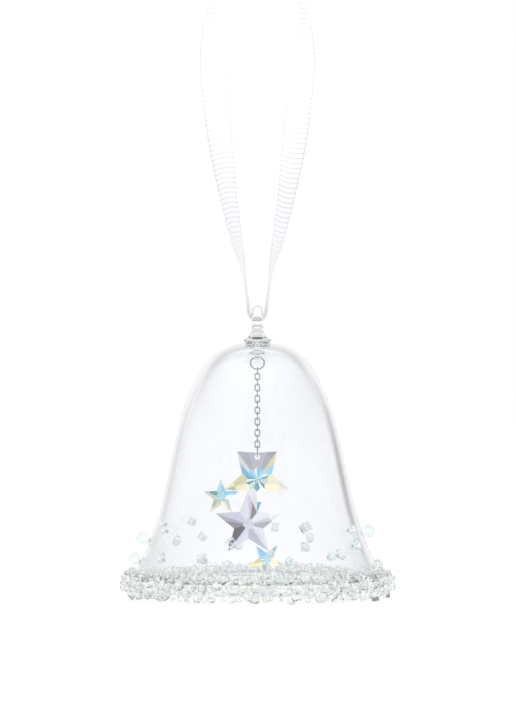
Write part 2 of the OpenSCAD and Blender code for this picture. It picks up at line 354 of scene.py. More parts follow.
def make_studio():
    """A white room with darker strips at the sides, which draw the edges of the glass."""
    world = bpy.data.worlds.new("studio")
    bpy.context.scene.world = world
    world.use_nodes = True
    room = Nodes(world.node_tree)
    way = room.node("ShaderNodeTexCoord", out=0)
    split = room.node("ShaderNodeSeparateXYZ", None, {0: way}).socket.node
    x, y, z = (Value(room, split.outputs[i]) for i in range(3))
    turn = x.angle_from(y) / (2 * math.pi) + 0.5
    band = room.node("ShaderNodeValToRGB", {"stops": [
        (0.0, 1.15), (0.2, 1.15), (0.35, 1.08), (0.385, 1.05), (0.405, 0.7), (0.425, 0.72),
        (0.445, 1.05), (0.5, 1.06), (0.51, 1.02), (0.53, 1.02), (0.555, 1.06), (0.57, 0.7),
        (0.585, 0.25), (0.6, 0.35), (0.625, 1.05), (0.7, 1.08), (0.8, 1.15), (1.0, 1.15)
    ]}, {0: turn})
    up = room.node("ShaderNodeValToRGB", {"stops": [(0.52, 0.0), (0.66, 1.0)]}, {0: z * 0.5 + 0.5})
    ceiling = room.node("ShaderNodeValToRGB", {"stops": [
        (0.62, 1.0), (0.72, 0.7), (0.8, 0.8), (0.9, 1.3), (0.97, 1.3), (1.0, 0.2)
    ]}, {0: z * 0.5 + 0.5})
    light = room.blend(up, band, ceiling)
    seen = room.node("ShaderNodeLightPath", out=0)
    light = room.blend(seen, light, (1.0, 1.0, 1.0))
    room.put(world.node_tree.nodes["Background"].inputs["Color"], light)

    top = at(0, 0, HANG)
    area_light("overhead", top + Vector((0, -0.15, 0.35)), at(0, 0, 0), 0.5, 0.5)
    area_light("above_the_loop", top + Vector((0, -0.035, 0)), at(0, 0, 145), 0.02, 0.009)

    scene = bpy.context.scene
    scene.view_settings.view_transform = "Standard"
    scene.cycles.max_bounces = 40
    scene.cycles.transmission_bounces = 40
    scene.cycles.glossy_bounces = 8
    scene.cycles.diffuse_bounces = 3
    scene.cycles.transparent_max_bounces = 16


# ---- ribbon ----

RIBBON_W = 6.35
RIBBON_T = 0.4
# Half of the ribbon's route, from the eye up to the loop: x, height, turn, width, thickness
HALF_ROUTE = [
    (0, 73.15, 0, 1.5, 1),
    (-1.15, 73.46, 0, 1.5, 1),
    (-1.99, 74.3, 0, 1.6, 1),
    (-2.3, 75.5, 0, 1.9, 1),
    (-2.45, 77, 1, 2.4, 0.9),
    (-2.75, 79.5, 4, 3.2, 0.85),
    (-3.3, 83.5, 9, 4.6, 0.6),
    (-4.1, 88.5, 17, 5.8, 0.45),
    (-5.4, 94, 27, RIBBON_W, RIBBON_T),
    (-7.4, 104.5, 42, RIBBON_W, RIBBON_T),
    (-8.9, 114, 62, RIBBON_W, RIBBON_T),
    (-10, 122, 80, RIBBON_W, RIBBON_T),
    (-10.8, 129, 90, RIBBON_W, RIBBON_T),
    (-11.5, 136, 84, RIBBON_W, RIBBON_T),
    (-12, 143, 62, RIBBON_W, RIBBON_T),
    (-12, 150, 34, RIBBON_W, RIBBON_T),
    (-10.9, 156, 12, RIBBON_W, RIBBON_T),
    (-8, 161.8, 0, RIBBON_W, RIBBON_T),
    (-4.2, 165.2, 0, RIBBON_W, RIBBON_T),
    (0, 166.2, 0, RIBBON_W, RIBBON_T),
]
ROUTE = HALF_ROUTE + [(-x, *rest) for x, *rest in HALF_ROUTE[-2:0:-1]]
RIB_PITCH = 1.3
RIB_DEPTH = 0.035
RINGS_PER_RIB = 6
FOLDS = 1.5  # waves across the ribbon where it is gathered into the eye
GATHER_END = 88  # height up to which the gathered ribbon hides its ribs
GATHER_FADE = 12


def spline(p0, p1, p2, p3, t):
    """A smooth curve through p1 and p2."""
    return tuple(
        0.5 * (2 * b + (c - a) * t + (2 * a - 5 * b + 4 * c - d) * t * t
               + (3 * b - a - 3 * c + d) * t ** 3)
        for a, b, c, d in zip(p0, p1, p2, p3)
    )


def route_samples(steps):
    n = len(ROUTE)
    return [
        spline(ROUTE[(k - 1) % n], ROUTE[k], ROUTE[(k + 1) % n], ROUTE[(k + 2) % n], i / steps)
        for k in range(n) for i in range(steps)
    ]


def even_samples(count):
    """Points of the closed route at even distances, and the route's whole length."""
    fine = route_samples(40)
    ends = fine + fine[:1]
    run = [0.0]
    for a, b in zip(ends, ends[1:]):
        run.append(run[-1] + math.hypot(b[0] - a[0], b[1] - a[1]))
    picked, k = [], 0
    for i in range(count):
        want = run[-1] * i / count
        while run[k + 1] < want:
            k += 1
        share = (want - run[k]) / (run[k + 1] - run[k])
        picked.append(tuple(a + (b - a) * share for a, b in zip(ends[k], ends[k + 1])))
    return picked, run[-1]


def make_ribbon():
    """One closed band of ribbed satin, gathered in folds where it passes the eye."""
    length = even_samples(10)[1]
    ribs = round(length / RIB_PITCH)
    count = ribs * RINGS_PER_RIB
    samples, length = even_samples(count)
    across = [i / 12 - 0.5 for i in range(13)]
    verts, run, side, ribbed = [], [], [], []
    for k, (x, z, turn, width, thick) in enumerate(samples):
        before, after = samples[k - 1], samples[(k + 1) % count]
        along = Vector((after[0] - before[0], 0, after[1] - before[1])).normalized()
        normal = Vector((-along.z, 0, along.x))
        c, s = math.cos(math.radians(turn)), math.sin(math.radians(turn))
        width_way = Vector((0, c, 0)) + normal * s
        thick_way = Vector((0, -s, 0)) + normal * c
        cloth = RIBBON_T * 0.75
        fold = max(thick - RIBBON_T, 0) / 2
        open_share = min(max((z - GATHER_END) / GATHER_FADE, 0), 1)
        rib = open_share * RIB_DEPTH * math.sin(2 * math.pi * k / RINGS_PER_RIB)
        middle = Vector((x, 0, z))
        for face in (1, -1):
            for u in (across if face == 1 else across[::-1]):
                edge = 1 - 0.55 * (2 * abs(u)) ** 8
                lift = fold * math.cos(2 * math.pi * FOLDS * (u + 0.5))
                out = lift + face * (cloth / 2 + rib * edge) * edge
                spot = middle + width_way * (u * width) + thick_way * out
                verts.append(at(spot.x, spot.y, spot.z))
                run.append(length * k / count)
                side.append(u)
                ribbed.append(open_share)
    mesh = as_mesh("hanging_ribbon", verts, ring_faces(count, 2 * len(across), True), True)
    outward(mesh)
    for name, values in (("run", run), ("side", side), ("ribbed", ribbed)):
        mesh.attributes.new(name, "FLOAT", "POINT").data.foreach_set("value", values)
    ribbon = show("ribbed_ribbon", mesh, ribbon_finish(), "ribbon", "ribbon", "hanging_ribbon")
    path = [at(p[0], 0, p[1]) for p in route_samples(4)]
    length * MM


def ribbon_finish():
    finish = Finish("ribbed_satin", Roughness=0.5, Sheen_Weight=0.25, Specular_IOR_Level=0.4)
    run = finish.attribute("run")
    side = finish.attribute("side")
    arched = run + side * side * 1.6
    wave = (arched * (2 * math.pi / RIB_PITCH)).sine() * 0.5 + 0.5
    ribbed = finish.attribute("ribbed")
    # Painted shade: the grooves between the ribs are darkened in the colour wherever the ribs show
    painted_groove_shade = (1 - wave) ** 4 * ribbed
    weave = finish.node(
        "ShaderNodeTexNoise", None, {"Vector": finish.place(2200), "Scale": 1.0, "Detail": 2.0}
    )
    # Painted shade along the ribbon's two edges
    painted_edge_shade = (side.size() * 2) ** 10
    # The colour turns to grey with painted shade: in the rib grooves, along the edges and over the
    # gathered part near the eye (where ribbed is 0); the weave noise is the cloth's own uneven tone
    shade = painted_groove_shade * 0.6 + weave * 0.15 + painted_edge_shade * 0.3 + (1 - ribbed) * 0.15
    finish.put(
        finish.surface["Base Color"],
        finish.blend(shade, paint(250, 251, 253), paint(204, 207, 214)),
    )
    finish.put(finish.surface["Normal"], finish.bumps(weave + wave, 0.25, 0.00008))
    return finish


# ---- glass ----

def clear_glass(name, tint, edge_tint, ior, ripple_scale, ripple, glow):
    """Clear glass, greyer where it is seen edge on, with a faint ripple from blowing."""
    finish = Finish(name, Roughness=0.0, IOR=ior, Transmission_Weight=1.0,
                    Emission_Color=(1.0, 1.0, 1.0), Emission_Strength=glow)
    glancing = finish.node("ShaderNodeLayerWeight", None, {"Blend": 0.5}, out=1)
    depth = finish.node("ShaderNodeValToRGB", {"stops": [
        (0.0, 0.0), (0.45, 0.12), (0.75, 0.55), (1.0, 1.0)
    ]}, {0: glancing})
    finish.put(finish.surface["Base Color"], finish.blend(depth, tint, edge_tint))
    swell = finish.node(
        "ShaderNodeTexNoise", None, {"Vector": finish.place(ripple_scale), "Scale": 1.0}
    )
    finish.put(finish.surface["Normal"], finish.bumps(swell, ripple, 0.0004))
    return finish


CROWN = [(0, 67.4), (10.9, 67.4), (14.4, 61.9), (18.3, 52.45)]
SKIRT = [(18.3, 52.45), (24.07, 38.3), (23.65, 16.5), (35.36, 3.2)]
RIM_AT = 0.9  # where the skirt's curve is cut off
WALL = 2.1
CROWN_BORE = 2.1
BORE_EDGE = 0.12  # how far the bore's edges are eased


def bezier(p, t):
    return Vector((0, 0)) + sum(
        (Vector(q) * w for q, w in zip(p, (
            (1 - t) ** 3, 3 * t * (1 - t) ** 2, 3 * t * t * (1 - t), t ** 3
        ))), Vector((0, 0))
    )


def face_point(share):
    """A point of the dome's outer face and the way out of it, from the crown (0) to the rim (1)."""
    step = 1e-4
    whole = share * (1 + RIM_AT)
    curve, t = (CROWN, whole) if whole < 1 else (SKIRT, whole - 1)
    here, ahead = bezier(curve, t), bezier(curve, t + step)
    way = (ahead - here).normalized()
    return here, Vector((-way.y, way.x))


def make_dome():
    steps, around = 90, 144
    outer, inner = [], []
    for i in range(steps + 1):
        spot, out = face_point(i / steps)
        outer.append(spot)
        inner.append(spot - out * WALL)
    rim, out = face_point(1)
    middle = rim - out * WALL / 2
    lean = math.atan2(out.y, out.x)
    round_rim = [
        middle + Vector((math.cos(lean - a), math.sin(lean - a))) * WALL / 2
        for a in (math.pi * i / 10 for i in range(1, 10))
    ]
    kept_out = [p for p in outer if p.x > CROWN_BORE + 0.1]
    kept_in = [p for p in inner if p.x > CROWN_BORE + 0.1]
    top, under = kept_out[0].y, kept_in[0].y
    bore = [
        Vector((CROWN_BORE, under + BORE_EDGE)), Vector((CROWN_BORE, (top + under) / 2)),
        Vector((CROWN_BORE, top - BORE_EDGE)),
    ]
    profile = kept_out + round_rim + kept_in[::-1] + bore
    verts = []
    for spot in profile:
        for j in range(around):
            a = 2 * math.pi * j / around
            verts.append(at(spot.x * math.cos(a), spot.x * math.sin(a), spot.y))
    mesh = as_mesh("dome", verts, ring_faces(len(profile), around, True), True)
    outward(mesh)
    glass = clear_glass("blown_glass", paint(249, 250, 252), paint(212, 213, 216),
                        ior=1.47, ripple_scale=60, ripple=0.06, glow=DOME_GLOW)
    show("blown_dome", mesh, glass, "bell", "dome_glass", "glass_dome")


def make_stem():
    """The lampworked stem: a merged copy of the CAD stem, melted together a little."""
    source = frame["nodes"]["hanger_stem"]
    mesh = outward(source.data.copy())
    holder = bpy.data.objects.new("holder", mesh)
    bpy.context.collection.objects.link(holder)
    melt = holder.modifiers.new("melt", "REMESH")
    melt.mode = "VOXEL"
    melt.voxel_size = 0.11 * MM
    relax = holder.modifiers.new("relax", "CORRECTIVE_SMOOTH")
    relax.iterations = 12
    relax.use_only_smooth = True
    ready = holder.evaluated_get(bpy.context.evaluated_depsgraph_get())
    stem = bpy.data.meshes.new_from_object(ready)
    bpy.data.objects.remove(holder)
    stem.shade_smooth()
    glass = clear_glass("stem_glass", paint(252, 253, 254), paint(200, 201, 204),
                        ior=1.5, ripple_scale=400, ripple=0.015, glow=0.0)
    show("lampworked_stem", stem, glass, "bell", "stem_glass", "hanger_stem")


# ---- crystals ----

def cut_shape(name, sides, rings, stagger):
    """A cut crystal from rings of points: radius and height of each, flat ends."""
    verts, faces = [], []
    for k, (r, z) in enumerate(rings):
        shift = 0.5 * (k % 2) if stagger else 0
        for j in range(sides):
            a = 2 * math.pi * (j + shift) / sides
            verts.append((r * math.cos(a), r * math.sin(a), z))
    for k in range(len(rings) - 1):
        a, b = k * sides, (k + 1) * sides
        back = 1 if stagger and k % 2 else 0
        for j in range(sides):
            n, p, m = (j + 1) % sides, b + (j + back) % sides, b + (j + back - 1) % sides
            if stagger:
                faces += [(a + j, a + n, p), (a + j, p, m)]
            else:
                faces.append((a + j, a + n, b + n, b + j))
    faces.append(tuple(range(sides)))
    faces.append(tuple(range((len(rings) - 1) * sides, len(rings) * sides)))
    shape = bpy.data.objects.new(name, outward(as_mesh(name, verts, faces)))
    bpy.context.collection.objects.link(shape)
    return shape


def crystal_shapes():
    half, cut = 0.66, 0.5
    return {
        "beads": cut_shape("bead", 8, [(0.36, 0.93), (0.9, 0.42), (0.9, -0.42), (0.36, -0.93)], True),
        "chatons": cut_shape("chaton", 8, [(0.52, 0.5), (0.98, 0.12), (0.98, -0.02), (0.04, -0.95)],
                             False),
        "cubes": cut_shape("cube", 4, [(cut * 1.4, half), (half * 1.4, cut), (half * 1.4, -cut),
                                       (cut * 1.4, -half)], False),
    }


def crystal_ring_tree():
    """Crystals set round a ring, each turned and sized by chance."""
    tree = Grower("crystal ring")
    crystal = tree.ask("Crystal", "NodeSocketObject")
    radius = tree.ask("Ring radius", "NodeSocketFloat", 0.03)
    height = tree.ask("Ring height", "NodeSocketFloat", 0.0)
    count = tree.ask("Count", "NodeSocketInt", 60)
    start = tree.ask("Start", "NodeSocketFloat", 0.0)
    size = tree.ask("Crystal radius", "NodeSocketFloat", 0.0013)
    scatter = tree.ask("Scatter", "NodeSocketFloat", 0.0002)
    uneven = tree.ask("Unevenness", "NodeSocketFloat", 0.3)
    share_from = tree.ask("Share from", "NodeSocketFloat", 0.0)
    share_to = tree.ask("Share to", "NodeSocketFloat", 1.0)
    seed = tree.ask("Seed", "NodeSocketInt", 1)
    finish = tree.ask("Finish", "NodeSocketMaterial")

    circle = tree.node("GeometryNodeMeshCircle", None, {"Vertices": count, "Radius": radius})
    lift = tree.node("ShaderNodeCombineXYZ", None, {2: height})
    spin = tree.node("ShaderNodeCombineXYZ", None, {2: start})
    circle = tree.node("GeometryNodeTransform", None,
                       {"Geometry": circle, "Translation": lift, "Rotation": spin})
    shake = tree.node("FunctionNodeRandomValue", {"data_type": "FLOAT_VECTOR"},
                      {0: (-1, -1, -1), 1: (1, 1, 1), "Seed": seed})
    shake = tree.node("ShaderNodeVectorMath", {"operation": "SCALE"}, {0: shake, "Scale": scatter})
    spots = tree.node("GeometryNodeSetPosition", None, {"Geometry": circle, "Offset": shake})
    lot = tree.node("FunctionNodeRandomValue", {"data_type": "FLOAT"},
                    {2: 0.0, 3: 1.0, "Seed": seed + 7}, out=1)
    chosen = (lot > share_from) * (lot < share_to)
    full = 2 * math.pi
    turned = tree.node("FunctionNodeRandomValue", {"data_type": "FLOAT_VECTOR"},
                       {0: (0, 0, 0), 1: (full, full, full), "Seed": seed + 13})
    grown = tree.node("FunctionNodeRandomValue", {"data_type": "FLOAT"},
                      {2: 0.72, 3: 1.12, "Seed": seed + 23}, out=1) * size
    stretch = tree.node("FunctionNodeRandomValue", {"data_type": "FLOAT_VECTOR"},
                        {0: 1 - uneven, 1: 1 + uneven * 0.5, "Seed": seed + 29})
    stretch = tree.node("ShaderNodeVectorMath", {"operation": "SCALE"},
                        {0: stretch, "Scale": grown})
    shape = tree.node("GeometryNodeObjectInfo", None, {"Object": crystal, "As Instance": True}, out=4)
    placed = tree.node("GeometryNodeInstanceOnPoints", None, {
        "Points": spots, "Selection": chosen, "Instance": shape,
        "Rotation": turned, "Scale": stretch,
    })
    tone = tree.node("FunctionNodeRandomValue", {"data_type": "FLOAT"},
                     {2: 0.0, 3: 1.0, "Seed": seed + 31}, out=1)
    placed = tree.node("GeometryNodeStoreNamedAttribute", {"domain": "INSTANCE"},
                       {"Geometry": placed, "Name": "tone", "Value": tone})
    solid = tree.node("GeometryNodeRealizeInstances", None, {"Geometry": placed})
    tree.give(tree.node("GeometryNodeSetMaterial", None, {"Geometry": solid, "Material": finish}))
    return tree


# Rows of crystals round the rim: band, radius, height, crystal radius, count, start
RIM_ROWS = [
    ("upper", 33.5, 7.0, 1.4, 62, 0),
    ("outer", 34.4, 4.8, 1.6, 62, 2.5),
    ("lower", 33.2, 2.5, 1.6, 58, 1),
    ("lower", 30.4, 2.5, 1.55, 52, 3),
    ("inner", 28.3, 4.2, 1.5, 50, 2),
    ("inner", 27.9, 6.7, 1.35, 52, 4),
]
# Small chips that fill the joints between the rows
CHIP_ROWS = [
    ("outer", 34.9, 3.4, 0.85, 90, 1.5),
    ("outer", 34.9, 6.1, 0.8, 90, 3),
    ("upper", 32.8, 7.8, 0.75, 90, 3.5),
    ("lower", 31.9, 1.8, 0.8, 80, 2),
    ("inner", 28.2, 5.5, 0.8, 70, 3),
]
SCATTER = 0.36  # how far a crystal sits off its row, as a share of its radius
KIND_SHARES = {"beads": (0, 0.3), "chatons": (0.3, 0.65), "cubes": (0.65, 1)}
UNEVENNESS = {"beads": 0.05, "chatons": 0.4, "cubes": 0.45}


def crystal_finish(name, ior, glow, tint_share, tint):
    """Clear cut crystal: each one has its own faint cast, and all share part of one tint."""
    finish = Finish(name, Roughness=0.02, IOR=ior, Transmission_Weight=1.0,
                    Emission_Color=(1.0, 1.0, 1.0), Emission_Strength=glow)
    tone = finish.attribute("tone")
    cast = finish.node("ShaderNodeValToRGB", {"stops": [
        (0.0, paint(255, 255, 255)), (0.3, paint(252, 255, 255)), (0.5, paint(252, 255, 251)),
        (0.7, paint(253, 254, 255)), (0.85, paint(255, 254, 249)), (1.0, paint(255, 255, 255)),
    ]}, {0: tone})
    finish.put(finish.surface["Base Color"], finish.blend(tint_share, cast, paint(*tint)))
    return finish


def make_rim(shapes, finish):
    tree = crystal_ring_tree()
    for band in ("upper", "outer", "lower", "inner"):
        for kind, (low, high) in KIND_SHARES.items():
            grown = []
            for number, row in enumerate(RIM_ROWS + CHIP_ROWS):
                if row[0] != band:
                    continue
                grown.append(tree.grown({
                    "Crystal": shapes[kind], "Ring radius": row[1] * MM,
                    "Ring height": (row[2] - HANG) * MM, "Count": row[4],
                    "Start": row[5] * 2 * math.pi / row[4] / 5, "Crystal radius": row[3] * MM,
                    "Scatter": SCATTER * row[3] * MM, "Unevenness": UNEVENNESS[kind],
                    "Share from": low, "Share to": high,
                    "Seed": 100 + number, "Finish": finish.material,
                }))
            show(f"rim_crystal_{kind}_{band}", joined(f"{kind}_{band}", grown), finish,
                 "bell", "rim_crystal", f"rim_{kind}_{band}")


# Crystals on the wall: turn round the dome, height, radius
WALL_BEADS = [
    (180, 15.7, 1.7), (180, 10.3, 1.5), (207, 20.3, 0.9), (211, 18.6, 1), (217, 11.2, 1.1),
    (352, 17.8, 1.7), (329, 18.7, 1.3), (328, 14.5, 1.45), (314, 12.3, 1.4), (308, 12, 1.2),
    (41, 11.6, 1.2), (60, 15, 1.3), (100, 12.6, 1.4), (141, 14.8, 1.45), (152, 11.4, 1.2),
    (285, 11, 1.15), (344, 9.1, 1.45),
]
# Cut squares on the wall: turn round the dome, height, edge, turn on the face
WALL_CUBES = [
    (243, 11.4, 2.3, 8), (257, 15.6, 2.3, 42), (296, 19.6, 2.4, 28), (64, 12.4, 2.1, 0),
    (132, 19.8, 2.1, 20), (122, 15.4, 2, 33), (80, 17.7, 2, 12),
]
WALL_GAP = 0.12  # from the glass to a crystal stuck on it


def wall_spot(turn, height, lift):
    """A point that far off the dome's outer face, and how the face is turned there."""
    low, high = 0.0, 1.0
    for _ in range(30):
        middle = (low + high) / 2
        low, high = (middle, high) if face_point(middle)[0].y > height else (low, middle)
    spot, out = face_point(low)
    spot = spot + out * lift
    angle = math.radians(turn)
    tilt = math.atan2(out.y, out.x)
    face = Matrix.Rotation(angle, 4, "Z") @ Matrix.Rotation(-tilt, 4, "Y")
    return at(spot.x * math.cos(angle), spot.x * math.sin(angle), spot.y), face


def placed_crystals_tree():
    """One crystal on every point, turned and sized as the point says."""
    tree = Grower("placed crystals")
    points = tree.ask("Geometry", "NodeSocketGeometry")
    crystal = tree.ask("Crystal", "NodeSocketObject")
    seed = tree.ask("Seed", "NodeSocketInt", 1)
    finish = tree.ask("Finish", "NodeSocketMaterial")
    shape = tree.node("GeometryNodeObjectInfo", None, {"Object": crystal, "As Instance": True}, out=4)
    turn = tree.node("GeometryNodeInputNamedAttribute", {"data_type": "FLOAT_VECTOR"},
                     {"Name": "turned"})
    size = tree.node("GeometryNodeInputNamedAttribute", {"data_type": "FLOAT"}, {"Name": "size"})
    placed = tree.node("GeometryNodeInstanceOnPoints", None, {
        "Points": points, "Instance": shape, "Rotation": turn, "Scale": size,
    })
    tone = tree.node("FunctionNodeRandomValue", {"data_type": "FLOAT"},
                     {2: 0.0, 3: 1.0, "Seed": seed}, out=1)
    placed = tree.node("GeometryNodeStoreNamedAttribute", {"domain": "INSTANCE"},
                       {"Geometry": placed, "Name": "tone", "Value": tone})
    solid = tree.node("GeometryNodeRealizeInstances", None, {"Geometry": placed})
    tree.give(tree.node("GeometryNodeSetMaterial", None, {"Geometry": solid, "Material": finish}))
    return tree


def crystal_points(spots):
    """A mesh of points with a turn and a size on each, from (place, matrix, size)."""
    mesh = as_mesh("points", [place for place, _, _ in spots], [])
    turned = mesh.attributes.new("turned", "FLOAT_VECTOR", "POINT")
    turned.data.foreach_set("vector", [v for _, face, _ in spots for v in face.to_euler()])
    mesh.attributes.new("size", "FLOAT", "POINT").data.foreach_set(
        "value", [size for _, _, size in spots]
    )
    return mesh


def pierced_bead():
    """A faceted bead with its hole along Z."""
    profile = [(0.24, -0.66), (0.5, -0.84), (0.88, -0.48), (1, 0), (0.88, 0.48), (0.5, 0.84),
               (0.24, 0.66)]
    sides = 12
    verts = [
        (r * math.cos(2 * math.pi * j / sides), r * math.sin(2 * math.pi * j / sides), z)
        for r, z in profile for j in range(sides)
    ]
    mesh = outward(as_mesh("pierced_bead", verts, ring_faces(len(profile), sides, True)))
    bead = bpy.data.objects.new("pierced_bead", mesh)
    bpy.context.collection.objects.link(bead)
    return bead


def make_wall_crystals(shapes):
    tree = placed_crystals_tree()
    glass = crystal_finish("bead_glass", 1.5, 0.0, 0.5, (234, 248, 246))
    cut = crystal_finish("cut_square_crystal", 1.45, 0.0, 0.6, (222, 229, 230))
    bead = pierced_bead()
    spots = []
    for turn, height, radius in WALL_BEADS:
        place, face = wall_spot(turn, height, radius * 0.9 + WALL_GAP)
        spots.append((place, face @ Matrix.Rotation(math.pi / 2, 4, "X"), radius * MM))
    beads = tree.grown({"Crystal": bead, "Seed": 5, "Finish": glass.material},
                       crystal_points(spots))
    bpy.data.objects.remove(bead)
    show("wall_glass_beads", beads, glass, "bell", "rim_crystal", "wall_beads")
    spots = []
    for turn, height, edge, on_face in WALL_CUBES:
        place, face = wall_spot(turn, height, edge / 2 + WALL_GAP)
        spin = Matrix.Rotation(math.radians(on_face), 4, "X") @ Matrix.Rotation(math.pi / 4, 4, "X")
        side = Matrix.Rotation(math.pi / 2, 4, "Y")
        spots.append((place, face @ spin @ side, edge * 0.75 * MM))
    cubes = tree.grown({"Crystal": shapes["cubes"], "Seed": 9, "Finish": cut.material},
                       crystal_points(spots))
    show("wall_cut_squares", cubes, cut, "bell", "rim_crystal", "wall_cubes")


# ---- stars ----

STAR_HOLE_R = 0.7
HOLE_RISE = 0.2  # from the star ring's underside up to the middle of the hole

# Facet colours as seen from the front: the coatings' hues fixed on each facet, together with painted
# reflections and painted shade; the greys and the near black are painted shade and a painted dark
# reflection
PAINTED_SHADE_GREY = (176, 177, 184)
KHAKI = (222, 212, 168)
CREAM = (250, 244, 214)
YELLOW = (250, 236, 178)
SKY = (138, 214, 250)
TEAL = (72, 160, 172)
ICE = (178, 222, 236)
PEACH = (240, 218, 204)
WHITE = (246, 250, 250)
LILAC = (228, 228, 238)
PAINTED_SHADE_SLATE = (184, 183, 196)
PAINTED_DARK_REFLECTION = (78, 76, 86)

# Each star's half arms, from its first tip and anticlockwise as seen from the front: the colour
# by the ridge, the colour towards the tip and, if it differs from the first, by the notch
AURORA_LARGE = [
    (WHITE, (96, 176, 206)), (CREAM, (246, 243, 222)), ((240, 236, 200), (226, 232, 232)),
    (KHAKI, (236, 224, 160), SKY), (PAINTED_SHADE_GREY, (170, 170, 178), (186, 186, 194)),
    (PAINTED_SHADE_GREY, (182, 182, 188), (186, 186, 194)),
    ((222, 226, 214), (214, 220, 220), (118, 176, 214)),
    (KHAKI, YELLOW), (CREAM, (206, 198, 160)),
    ((236, 232, 238), PEACH),
]
CLEAR_LARGE = [
    (LILAC, (236, 236, 243)), ((208, 211, 232), (218, 218, 230)),
    ((172, 170, 184), PAINTED_SHADE_SLATE, (132, 130, 142)), (PAINTED_DARK_REFLECTION, PAINTED_DARK_REFLECTION), ((214, 217, 232), (222, 224, 236)),
    (PAINTED_SHADE_SLATE, (190, 189, 202)), ((228, 228, 236), (232, 232, 240)),
    ((206, 206, 214), (232, 232, 238), (168, 168, 180)), ((244, 244, 249), (250, 250, 252)),
    ((212, 212, 222), (222, 222, 231), (128, 128, 138)),
]
AURORA_LEFT = [
    (ICE, (214, 218, 222)), (TEAL, (206, 212, 208)), (KHAKI, (214, 216, 208)),
    ((170, 190, 186), (226, 212, 188)), (KHAKI, (240, 226, 206)), (CREAM, (226, 222, 196)),
    ((196, 212, 206), (222, 214, 184)), (WHITE, SKY), (SKY, (150, 190, 226)),
    ((160, 212, 226), (224, 228, 232)),
]
AURORA_LOW = [
    ((206, 210, 200), (196, 198, 192)), (CREAM, (238, 234, 212)), (CREAM, (206, 204, 186)),
    ((190, 210, 208), (176, 196, 196)), ((214, 226, 226), (170, 188, 186)), (SKY, (176, 222, 246)),
    ((150, 206, 244), (196, 226, 246)), (KHAKI, (250, 236, 150)), (YELLOW, (240, 230, 170)),
    ((176, 184, 176), (214, 214, 208)),
]
AURORA_BURST = [TEAL, WHITE, (64, 150, 166), PEACH, ICE, (92, 170, 184), WHITE]
AURORA_TOP_BURST = [SKY, (112, 192, 228), WHITE, ICE]
CLEAR_BURST = [(212, 214, 226), (206, 208, 222), (218, 220, 230)]
SMALL_BURST = [ICE, (120, 196, 212), WHITE, (166, 206, 208)]


def star_mesh(name, centre, tip, notch, front, back, edge, turn, rosette, arms, burst,
              top_r=None, top_burst=None):
    """A cut crystal star that faces -Y, with a colour on every facet."""
    verts, faces, colours = [], [], []

    def spot(step, r, y):
        angle = math.radians(turn + 18 * step)
        x, z = r * math.cos(angle), r * math.sin(angle)
        verts.append(at(centre[0] + x, centre[1] + y, centre[2] + z))
        return len(verts) - 1

    def facet(colour, *corners):
        shift = 1 + 0.05 * math.sin(len(faces) * 2.4)
        faces.append(corners)
        colours.append(tuple(min(c * shift, 1) for c in paint(*colour)))

    def reach(step):
        if step % 4 == 0:
            return tip
        if top_r and abs((turn + 18 * step) % 360 - 90) < 1:
            return top_r
        return notch

    table = spot(0, 0, -front)
    inner = [spot(s, rosette * 0.42, -front * 0.96) for s in range(20)]
    outer = [spot(s, rosette * (1.5 if s % 2 == 0 else 1.12), -front * 0.78) for s in range(20)]
    rims = {}
    for y in (-edge / 2, edge / 2):
        ring = []
        for s in range(20):
            if s % 2 == 0:
                ring.append(spot(s, reach(s), y))
            else:
                a, b = (math.radians(turn + 18 * t) for t in (s - 1, s + 1))
                r, q = reach((s - 1) % 20), reach((s + 1) % 20)
                x = 0.5 * (r * math.cos(a) + q * math.cos(b))
                z = 0.5 * (r * math.sin(a) + q * math.sin(b))
                verts.append(at(centre[0] + x, centre[1] + y, centre[2] + z))
                ring.append(len(verts) - 1)
        rims[y] = ring
    ridge = {s: spot(s, (rosette * 1.5 + tip) / 2, -front * 0.52) for s in range(0, 20, 4)}
    back_ridge = {s: spot(s, tip * 0.55, back * 0.62) for s in range(0, 20, 4)}
    back_ring = [spot(s, rosette * 1.1, back * 0.9) for s in range(0, 20, 2)]
    culet = spot(0, 0, back)
    fore, aft = rims[-edge / 2], rims[edge / 2]
    for s in range(20):
        n = (s + 1) % 20
        high = math.sin(math.radians(turn + 18 * s + 9)) > 0.3
        lot = top_burst if top_burst and high else burst
        facet(lot[(s * 3) % len(lot)], table, inner[n], inner[s])
        facet(lot[s % len(lot)], inner[s], inner[n], outer[n], outer[s])
    for k in range(10):
        near, far, *rest = arms[k]
        between = rest[0] if rest else near
        a, m, b = 2 * k, 2 * k + 1, (2 * k + 2) % 20
        tip_at, notch_at = (a, b) if k % 2 == 0 else (b, a)
        r = ridge[tip_at]
        facet(near, outer[tip_at], r, fore[m], outer[m])
        facet(far, r, fore[tip_at], fore[m])
        facet(between, outer[m], fore[m], fore[notch_at], outer[notch_at])
        for one, two in ((a, m), (m, b)):
            facet(far, fore[one], fore[two], aft[two], aft[one])
        q = back_ridge[tip_at]
        facet(far, aft[tip_at], q, aft[m])
        facet(near, q, back_ring[tip_at // 2], back_ring[notch_at // 2], aft[notch_at], aft[m])
        facet(burst[k % len(burst)], back_ring[k], back_ring[(k + 1) % 10], culet)
    mesh = as_mesh(name, verts, faces)
    shade = mesh.attributes.new("facet", "FLOAT_COLOR", "CORNER")
    shade.data.foreach_set("color", [
        v for polygon, colour in zip(mesh.polygons, colours)
        for _ in polygon.loop_indices for v in (*colour, 1)
    ])
    work = bmesh.new()
    work.from_mesh(mesh)
    bmesh.ops.recalc_face_normals(work, faces=work.faces)
    bmesh.ops.triangulate(work, faces=work.faces)
    work.to_mesh(mesh)
    work.free()
    return mesh


